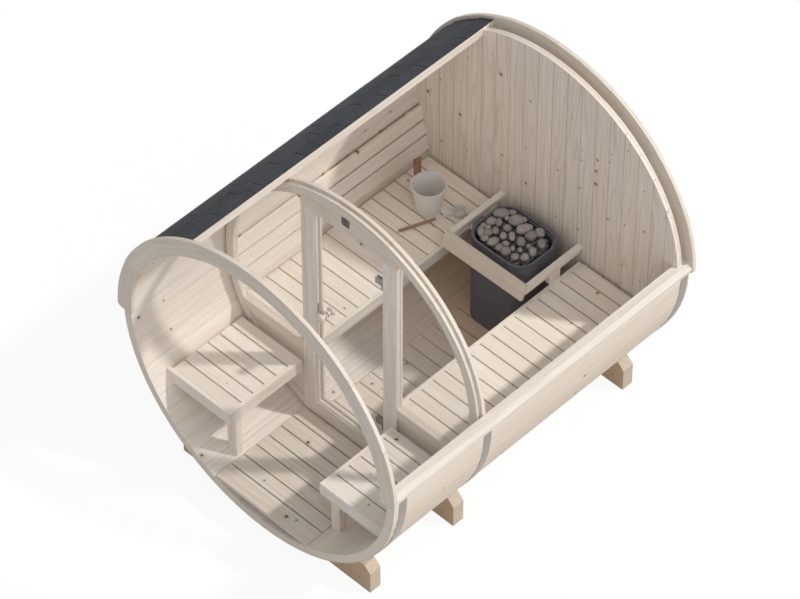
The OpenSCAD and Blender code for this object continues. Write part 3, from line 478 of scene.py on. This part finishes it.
# wood, width of the rounded edge in metres, and the nodes that it dresses
timberPieces = ((staveWood, 0.0012, ("shell_left_upper", "shell_left_lower", "shell_bottom",
                                     "shell_right")),
                (archWood, 0.0016, ("front_arch", "back_arch")),
                (ringWood, 0.001, ("partition_arch", "partition_sides", "back_ring")),
                (wallWood, 0.004, ("back_wall",)),
                (floorWood, 0.003, ("porch_floor",)),
                (roomWood, 0.003, ("room_floor",)),
                (porchSeatWood, 0.003, ("porch_bench_left_slats", "porch_bench_right_slats")),
                (porchFrameWood, 0.003, ("porch_bench_left_frame", "porch_bench_right_frame")),
                (seatWood, 0.003, ("bench_left_slats", "bench_right_slats")),
                (railWood, 0.003, ("bench_left_frame", "bench_right_frame", "guard_rails")),
                (restWood, 0.003, ("backrest_boards",)),
                (bearerWood, 0.002, ("backrest_supports", "floor_bearers")),
                (battenWood, 0.0, ("eaves_battens",)),
                (postWood, 0.003, ("door_posts",)),
                (crossWood, 0.003, ("door_header", "door_sill", "bay_rails", "bay_panels", "guard_plank")),
                (sawnWood, 0.004, ("cradle_front", "cradle_middle", "cradle_back")),
                (oiledWood, 0.002, ("pail_handle",)))
for wood, edge, names in timberPieces:
    for name in names:
        dress(name, wood, edge)
dress("door_handle", turnedWood, 0.002, 3)
print("timber dressed")

# metals: the darker and the lighter tone, roughness with its spread, and the scale of grain or brush marks
metals = dict(hoop=dict(tones=(srgb(144, 136, 129), srgb(186, 177, 169)), metallic=0.9, rough=0.34,
                        spread=0.25, brush=(700.0, 9.0), cloud=6.0),
              hinge=dict(tones=(srgb(118, 115, 113), srgb(168, 164, 160)), metallic=0.75, rough=0.3,
                         spread=0.2, brush=(60.0, 60.0, 1500.0)),
              catch=dict(tones=(srgb(150, 144, 138), srgb(188, 182, 176)), rough=0.34, grain=700.0),
              vent=dict(tones=(srgb(70, 62, 60), srgb(96, 88, 84)), rough=0.4, grain=900.0),
              heater=dict(tones=(srgb(89, 91, 101), srgb(113, 116, 128)), rough=0.42, grain=900.0),
              pail=dict(tones=(srgb(224, 220, 217), srgb(236, 233, 231)), rough=0.38, grain=500.0))
paint = dict(spread=0.2, cloud=5.0, fineShare=0.4, cloudShare=0.6)
pane = dict(tones=(srgb(196, 192, 186), srgb(182, 178, 172)), film=3.0, rough=0.01, spread=0.03,
            body=0.12, rim=0.2, index=1.5)


def brushedSteel(name, look):  # the brush marks run round the barrel
    material, tree, shader, place, parts = newMaterial(name)
    far, angle = polarOf(tree, parts)
    run = triple(tree, times(tree, parts["Y"], look["brush"][0]), times(tree, angle, look["brush"][1]), 0.0)
    brush = speckle(tree, run, 1.0, 3.0, 0.6)
    cloud = speckle(tree, place.outputs["Object"], look["cloud"], 3.0)
    mixed = timesPlus(tree, cloud, 0.5, times(tree, brush, 0.5))
    tree.links.new(blendColor(tree, mixed, *look["tones"]), shader.inputs["Base Color"])
    shader.inputs["Metallic"].default_value = look["metallic"]
    tree.links.new(timesPlus(tree, brush, look["spread"], look["rough"]), shader.inputs["Roughness"])
    addBump(tree, shader, brush, 0.08, 0.0003)
    return material


def turnedSteel(name, look):
    material, tree, shader, place, parts = newMaterial(name)
    brush = speckle(tree, stretched(tree, parts["X"], parts["Y"], parts["Z"], look["brush"]), 1.0)
    tree.links.new(blendColor(tree, brush, *look["tones"]), shader.inputs["Base Color"])
    shader.inputs["Metallic"].default_value = look["metallic"]
    tree.links.new(timesPlus(tree, brush, look["spread"], look["rough"]), shader.inputs["Roughness"])
    return material


def paintedMetal(name, look):
    material, tree, shader, place, parts = newMaterial(name)
    fine = speckle(tree, place.outputs["Object"], look["grain"])
    cloud = speckle(tree, place.outputs["Object"], paint["cloud"], 3.0)
    mixed = timesPlus(tree, fine, paint["fineShare"], times(tree, cloud, paint["cloudShare"]))
    tree.links.new(blendColor(tree, mixed, *look["tones"]), shader.inputs["Base Color"])
    tree.links.new(timesPlus(tree, fine, paint["spread"], look["rough"]), shader.inputs["Roughness"])
    addBump(tree, shader, fine, 0.1, 0.0004)
    return material


def clearGlass(name, look):
    material, tree, shader, place, parts = newMaterial(name)
    film = speckle(tree, place.outputs["Object"], look["film"], 3.0)
    tree.links.new(blendColor(tree, film, *look["tones"]), shader.inputs["Base Color"])
    tree.links.new(timesPlus(tree, film, look["spread"], look["rough"]), shader.inputs["Roughness"])
    shader.inputs["IOR"].default_value = look["index"]
    normal = addNode(tree, "ShaderNodeSeparateXYZ")
    tree.links.new(place.outputs["Normal"], normal.inputs[0])
    # the cut edges look denser than the sheet
    rim = calc(tree, "LESS_THAN", calc(tree, "ABSOLUTE", normal.outputs["Y"]), 0.5)
    tree.links.new(timesPlus(tree, rim, look["rim"], look["body"]), shader.inputs["Alpha"])
    return material


hingeSteel = turnedSteel("hinge_steel", metals["hinge"])
glassPane = clearGlass("clear_glass", pane)
dress("hoops", brushedSteel("hoop_steel", metals["hoop"]))
dress("hinge_brackets", hingeSteel)
dress("door_hinges", hingeSteel)
dress("door_catch", paintedMetal("catch_steel", metals["catch"]))
dress("vent_grille", paintedMetal("vent_paint", metals["vent"]))
dress("heater_body", paintedMetal("heater_paint", metals["heater"]), 0.004, 3)
dress("pail", paintedMetal("pail_metal", metals["pail"]), 0.002)
dress("side_glass", glassPane)
dress("door_glass", glassPane)

# the ladle's bowl and shank are metal, its grip is oiled wood
ladleLook = dict(bowl=(-0.448, 0.919), turn=25.0, gripFrom=0.1565, grain=400.0, rough=0.32, spread=0.15,
                 gripRough=0.2, tones=(srgb(206, 203, 202), srgb(222, 219, 218)))


def ladleFinish(name, look):
    material, tree, shader, place, parts = newMaterial(name)
    swing = math.radians(look["turn"])
    dx = minus(tree, parts["X"], look["bowl"][0])
    dy = minus(tree, parts["Y"], look["bowl"][1])
    out = timesPlus(tree, dx, -math.sin(swing), times(tree, dy, -math.cos(swing)))
    aside = timesPlus(tree, dx, math.cos(swing), times(tree, dy, -math.sin(swing)))
    grip = calc(tree, "GREATER_THAN", out, look["gripFrom"])
    grain = addNode(tree, "ShaderNodeGroup", node_tree=spruceGroup)
    for socket, value in zip(("Across", "Depth", "Along", "Board"), (aside, parts["Z"], out, 2.0)):
        feed(tree, grain.inputs[socket], value)
    for socket, colour in zip(("Pale", "Deep", "Knot"), ("gripPale", "gripDeep", "knot")):
        grain.inputs[socket].default_value = timber[colour]
    fine = speckle(tree, place.outputs["Object"], look["grain"])
    metal = blendColor(tree, fine, *look["tones"])
    tree.links.new(blendColor(tree, grip, metal, grain.outputs["Color"]), shader.inputs["Base Color"])
    rough = timesPlus(tree, grip, look["gripRough"], timesPlus(tree, fine, look["spread"], look["rough"]))
    tree.links.new(rough, shader.inputs["Roughness"])
    addBump(tree, shader, grain.outputs["Height"], 0.05, 0.0004)
    return material


dress("ladle", ladleFinish("ladle_finish", ladleLook))
print("metal and glass dressed")


def finishPiece(bm, name, body, material, smooth=True):
    bmesh.ops.recalc_face_normals(bm, faces=bm.faces[:])
    mesh = bpy.data.meshes.new(name)
    bm.to_mesh(mesh)
    bm.free()
    for face in mesh.polygons:
        face.use_smooth = smooth
    mesh.materials.append(material)
    piece = bpy.data.objects.new(name, mesh)
    scene.collection.objects.link(piece)
    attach(piece, body)
    return piece


# rounded stones heaped in the heater's basket over a bed of smaller ones, painted dark as the shade deep in
# the gaps
stoneHeap = dict(middle=(0.0, 0.921), rim=0.905, rise=0.022, fall=0.55, flat=0.78, trim=0.9, wobble=0.16,
                 seed=11, diagonal=45.0, halfX=0.208, halfY=0.160, topTone=(0.6, 1.0))
stoneBedPaintedShade = dict(rows=9, cols=11, size=0.026, drop=0.034, inset=0.016, jitter=0.005, dip=0.006, tone=0.12,
                toneSpread=0.1, flatX=0.135, flatY=0.087, corner=0.056)
stoneLook = dict(tones=(srgb(117, 114, 116), srgb(202, 193, 190)), grain=260.0, patch=38.0, toneLow=0.3,
                 toneSpread=0.75, rough=0.62, spread=0.2)
# each stone: x, y from the heater's middle, half length, half width, turn from the diagonal
heapedStones = (
    (-0.180, 0.083, 0.055, 0.038, 0), (-0.135, 0.136, 0.025, 0.026, 0), (-0.126, 0.075, 0.018, 0.022, 0),
    (-0.070, 0.097, 0.055, 0.045, 0), (-0.042, 0.136, 0.022, 0.026, 0), (-0.176, -0.012, 0.039, 0.034, 20),
    (-0.134, 0.011, 0.024, 0.034, 0), (-0.190, -0.066, 0.019, 0.021, 0), (-0.166, -0.112, 0.025, 0.049, 0),
    (-0.156, -0.062, 0.023, 0.021, 0), (-0.127, -0.092, 0.035, 0.029, 10), (-0.103, -0.050, 0.024, 0.034, 0),
    (-0.065, 0.011, 0.032, 0.027, 0), (0.014, 0.080, 0.062, 0.039, 25), (0.096, 0.126, 0.036, 0.036, -30),
    (0.080, 0.065, 0.041, 0.036, 10), (0.002, -0.019, 0.024, 0.038, 0), (-0.040, -0.051, 0.024, 0.032, 0),
    (-0.110, -0.136, 0.029, 0.025, 0), (-0.054, -0.122, 0.045, 0.030, 38), (0.072, -0.014, 0.033, 0.038, 0),
    (0.166, 0.068, 0.028, 0.042, 0), (0.016, -0.088, 0.026, 0.023, 0), (0.004, -0.133, 0.029, 0.028, 0),
    (0.053, -0.128, 0.036, 0.034, -20), (0.071, -0.086, 0.017, 0.024, 0), (0.110, -0.064, 0.019, 0.021, 0),
    (0.172, -0.019, 0.028, 0.040, 0), (0.124, -0.122, 0.029, 0.028, 0), (0.166, -0.083, 0.031, 0.029, 0),
    (0.128, -0.007, 0.017, 0.018, 0))


def stoneFinish(name, look):
    material, tree, shader, place, parts = newMaterial(name)
    each = addNode(tree, "ShaderNodeAttribute", attribute_name="stone_tone")
    grain = speckle(tree, place.outputs["Object"], look["grain"], 4.0, 0.65)
    patch = speckle(tree, place.outputs["Object"], look["patch"], 3.0)
    shade = timesPlus(tree, grain, 0.5, times(tree, patch, 0.5))
    colour = blendColor(tree, shade, *look["tones"])
    tone = timesPlus(tree, each.outputs["Fac"], look["toneSpread"], look["toneLow"])
    colour = blendColor(tree, 1.0, colour, toneColor(tree, tone, tone, tone), "MULTIPLY")
    tree.links.new(colour, shader.inputs["Base Color"])
    tree.links.new(timesPlus(tree, grain, look["spread"], look["rough"]), shader.inputs["Roughness"])
    addBump(tree, shader, calc(tree, "ADD", grain, patch), 0.35, 0.0012)
    return material


def addStone(bm, place, halves, turn, detail, tone, toneLayer):
    made = bmesh.ops.create_icosphere(bm, subdivisions=detail, radius=1.0)["verts"]
    shift = Vector(place) * 23.0
    for vert in made:
        lump = noise.noise(vert.co * 1.1 + shift) + 0.5 * noise.noise(vert.co * 2.3 + shift)
        vert.co *= 1.0 + stoneHeap["wobble"] * lump
    bmesh.ops.scale(bm, vec=halves, verts=made)
    bmesh.ops.rotate(bm, cent=(0, 0, 0), matrix=Matrix.Rotation(turn, 3, "Z"), verts=made)
    bmesh.ops.translate(bm, vec=place, verts=made)
    for vert in made:
        vert[toneLayer] = tone


def buildStones():
    heap, bed = stoneHeap, stoneBedPaintedShade
    dice = random.Random(heap["seed"])
    bm = bmesh.new()
    toneLayer = bm.verts.layers.float.new("stone_tone")
    cx, cy = heap["middle"]
    for x, y, a, b, tilt in heapedStones:
        edge = (x / heap["halfX"]) ** 2 + (y / heap["halfY"]) ** 2
        z = heap["rim"] + heap["rise"] * (1.0 - heap["fall"] * edge)
        halves = (a * heap["trim"], b * heap["trim"], heap["flat"] * min(a, b))
        addStone(bm, (cx + x, cy + y, z), halves, math.radians(heap["diagonal"] + tilt), 3,
                 dice.uniform(*heap["topTone"]), toneLayer)
    # the bed closes the gaps between the upper stones; its dark tone is painted shade for those gaps
    for row in range(bed["rows"]):
        for col in range(bed["cols"]):
            x = (2.0 * (col + 0.5) / bed["cols"] - 1.0) * (heap["halfX"] - bed["inset"])
            x += dice.uniform(-bed["jitter"], bed["jitter"])
            y = (2.0 * (row + 0.5) / bed["rows"] - 1.0) * (heap["halfY"] - bed["inset"])
            y += dice.uniform(-bed["jitter"], bed["jitter"])
            overX, overY = max(abs(x) - bed["flatX"], 0.0), max(abs(y) - bed["flatY"], 0.0)
            if overX ** 2 + overY ** 2 > bed["corner"] ** 2:  # outside the basket's rounded corner
                continue
            size = bed["size"] * dice.uniform(0.75, 1.0)
            z = heap["rim"] - bed["drop"] + dice.uniform(-bed["dip"], bed["dip"])
            addStone(bm, (cx + x, cy + y, z), (size, size * 0.85, size * 0.8), dice.uniform(0.0, 3.1), 2,
                     bed["tone"] + bed["toneSpread"] * dice.random(), toneLayer)
    piece = finishPiece(bm, "stone_heap", "sauna", stoneFinish("heater_stone", stoneLook))
    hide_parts("heater_stones")


buildStones()
print("stones heaped")

# shingle strips on the left of the roof, nine courses with staggered tabs
roofing = dict(courses=9, step=6.6, base=0.0002, felt=0.0035, thinEdge=0.005, thickEdge=0.010, tab=0.333,
               gap=0.004, stop=175.2, lift=0.0012, play=0.006, firstShift=0.17, nextShift=0.5, shortest=0.02,
               edge=0.0008, edgeFrom=0.0045, seed=5)
shingleLook = dict(tones=(srgb(28, 28, 32), srgb(76, 79, 86)), line=srgb(18, 17, 18), courseShadeShare=0.55,
                   courseShadeSoft=0.008, courseShadeDark=0.003, grit=75.0, cloud=9.0, gritShare=0.85, cloudShare=0.15,
                   gritFrom=0.38, gritTo=0.66, toneLow=0.74, toneSpread=0.42, rough=0.8, spread=0.15)


def shingleFinish(name, look):
    material, tree, shader, place, parts = newMaterial(name)
    each = addNode(tree, "ShaderNodeAttribute", attribute_name="tab_tone")
    grit = speckle(tree, place.outputs["Object"], look["grit"], 5.0, 0.85)
    cloud = speckle(tree, place.outputs["Object"], look["cloud"], 3.0)
    mixed = timesPlus(tree, grit, look["gritShare"], times(tree, cloud, look["cloudShare"]))
    shade = fade(tree, mixed, look["gritFrom"], look["gritTo"])
    # painted shade: a dark line where one course laps over the next
    far, angle = polarOf(tree, parts)
    step = math.radians(roofing["step"])
    down = calc(tree, "DIVIDE", minus(tree, angle, math.radians(barrel["cutLeft"])), step)
    toCourse = times(tree, calc(tree, "PINGPONG", down, 0.5), step * barrel["outer"])
    course = fade(tree, toCourse, look["courseShadeSoft"], look["courseShadeDark"])
    course = times(tree, course, calc(tree, "GREATER_THAN", down, 0.5))
    colour = blendColor(tree, shade, *look["tones"])
    colour = blendColor(tree, times(tree, course, look["courseShadeShare"]), colour, look["line"])
    tone = timesPlus(tree, each.outputs["Fac"], look["toneSpread"], look["toneLow"])
    colour = blendColor(tree, 1.0, colour, toneColor(tree, tone, tone, tone), "MULTIPLY")
    tree.links.new(colour, shader.inputs["Base Color"])
    tree.links.new(timesPlus(tree, grit, look["spread"], look["rough"]), shader.inputs["Roughness"])
    addBump(tree, shader, grit, 0.5, 0.0012)
    return material


def onBarrel(r, degrees, y):
    a = math.radians(degrees)
    return Vector((r * math.cos(a), y, barrel["axis"] + r * math.sin(a)))


def addStrip(bm, corners, y0, y1, tone, toneLayer, edge):
    verts = [bm.verts.new(onBarrel(r, a, y0)) for r, a in corners]
    face = bm.faces.new(verts)
    grown = bmesh.ops.extrude_face_region(bm, geom=[face])["geom"]
    moved = [item for item in grown if isinstance(item, bmesh.types.BMVert)]
    bmesh.ops.translate(bm, vec=(0.0, y1 - y0, 0.0), verts=moved)
    for vert in verts + moved:
        vert[toneLayer] = tone
    if edge:  # only the edges of the upper face are rounded
        own = [e for e in bm.edges if all(v in moved or v in verts for v in e.verts)]
        least = barrel["outer"] + roofing["edgeFrom"]
        upper = [e for e in own if min((v.co - onBarrel(0.0, 0.0, v.co.y)).length for v in e.verts) > least]
        bmesh.ops.bevel(bm, geom=upper, offset=edge, offset_type="OFFSET", segments=1, profile=0.5,
                        affect="EDGES", material=-1)


def buildShingles():
    dice = random.Random(roofing["seed"])
    bm = bmesh.new()
    toneLayer = bm.verts.layers.float.new("tab_tone")
    y0 = barrel["yFront"] + barrel["archThick"]
    y1 = barrel["yBack"] - barrel["archThick"]
    base = barrel["outer"] + roofing["base"]
    felt = base + roofing["felt"]
    thin = barrel["outer"] + roofing["thinEdge"]
    full = roofing["step"] - 2 * roofing["play"]
    for course in range(roofing["courses"]):
        top = barrel["cutLeft"] + course * roofing["step"] + roofing["play"]
        low = min(top + full, roofing["stop"])
        share = (low - top) / full
        thick = thin + (roofing["thickEdge"] - roofing["thinEdge"]) * share
        addStrip(bm, ((base, top), (base, low), (felt, low), (felt, top)), y0, y1, 0.0, toneLayer, 0.0)
        start = y0 - roofing["tab"] * (roofing["nextShift"] if course % 2 else roofing["firstShift"])
        while start < y1:
            a = max(start + roofing["gap"] / 2, y0)
            b = min(start + roofing["tab"] - roofing["gap"] / 2, y1)
            if b - a > roofing["shortest"]:
                tone = dice.uniform(0.0, 1.0)
                lift = roofing["lift"] * dice.random()
                corners = ((felt, top), (felt, low), (thick - lift, low), (thin, top))
                addStrip(bm, corners, a, b, tone, toneLayer, roofing["edge"])
            start += roofing["tab"]
    material = shingleFinish("shingle_grit", shingleLook)
    piece = finishPiece(bm, "shingle_tabs", "sauna", material, False)
    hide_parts("roof_shingles")


buildShingles()
print("shingles laid")

# studio: white floor that keeps the shadow, soft sky, sun from behind right, soft fill from front right
studio = dict(sun=dict(toward=(0.508, 0.4875, 0.710), strength=2.0, angle=3.2, color=(1.0, 0.98, 0.95)),
              fill=dict(toward=(0.74, -0.25, 0.62), strength=0.9, angle=90.0, color=(1.0, 0.965, 0.915)),
              sky=0.36, skyColor=(0.95, 0.975, 1.0, 1.0), floorSize=60.0, floorDrop=0.0005,
              floorColor=(0.55, 0.55, 0.55, 1.0), floorGlow=1.09, shadowShare=0.16)


def addSun(name):
    look = studio[name]
    lamp = bpy.data.lights.new(name, "SUN")
    lamp.energy = look["strength"]
    lamp.angle = math.radians(look["angle"])
    lamp.color = look["color"]
    sun = bpy.data.objects.new(name, lamp)
    sun.rotation_euler = Vector(look["toward"]).to_track_quat("Z", "Y").to_euler()
    scene.collection.objects.link(sun)


def seenDirectly(tree):
    path = addNode(tree, "ShaderNodeLightPath")
    either = calc(tree, "MAXIMUM", path.outputs["Is Camera Ray"], path.outputs["Is Glossy Ray"])
    return calc(tree, "MAXIMUM", either, path.outputs["Is Transmission Ray"])


def mixShaders(tree, share, first, second, output):
    pick = addNode(tree, "ShaderNodeMixShader")
    for socket, value in zip(pick.inputs, (share, first.outputs[0], second.outputs[0])):
        tree.links.new(value, socket)
    tree.links.new(pick.outputs[0], tree.nodes[output].inputs["Surface"])


def buildSky():
    world = bpy.data.worlds.new("sky")
    scene.world = world
    world.use_nodes = True
    tree = world.node_tree
    light = tree.nodes["Background"]
    light.inputs["Color"].default_value = studio["skyColor"]
    light.inputs["Strength"].default_value = studio["sky"]
    white = addNode(tree, "ShaderNodeBackground")
    white.inputs["Color"].default_value = (1.0, 1.0, 1.0, 1.0)
    white.inputs["Strength"].default_value = 1.0
    mixShaders(tree, seenDirectly(tree), light, white, "World Output")


def buildFloor():
    bm = bmesh.new()
    bmesh.ops.create_grid(bm, x_segments=1, y_segments=1, size=studio["floorSize"])
    bmesh.ops.translate(bm, vec=(0.0, 0.0, -studio["floorDrop"]), verts=bm.verts[:])
    mesh = bpy.data.meshes.new("studio_floor")
    bm.to_mesh(mesh)
    bm.free()
    floor = bpy.data.objects.new("studio_floor", mesh)
    scene.collection.objects.link(floor)
    material = bpy.data.materials.new("studio_floor")
    material.use_nodes = True
    tree = material.node_tree
    shader = tree.nodes["Principled BSDF"]
    shader.inputs["Base Color"].default_value = studio["floorColor"]
    shader.inputs["Roughness"].default_value = 0.9
    shader.inputs["Specular IOR Level"].default_value = 0.0
    glow = addNode(tree, "ShaderNodeEmission")
    glow.inputs["Strength"].default_value = studio["floorGlow"]
    share = times(tree, seenDirectly(tree), 1.0 - studio["shadowShare"])
    mixShaders(tree, share, shader, glow, "Material Output")
    mesh.materials.append(material)


addSun("sun")
addSun("fill")
buildSky()
buildFloor()
print("studio lit")
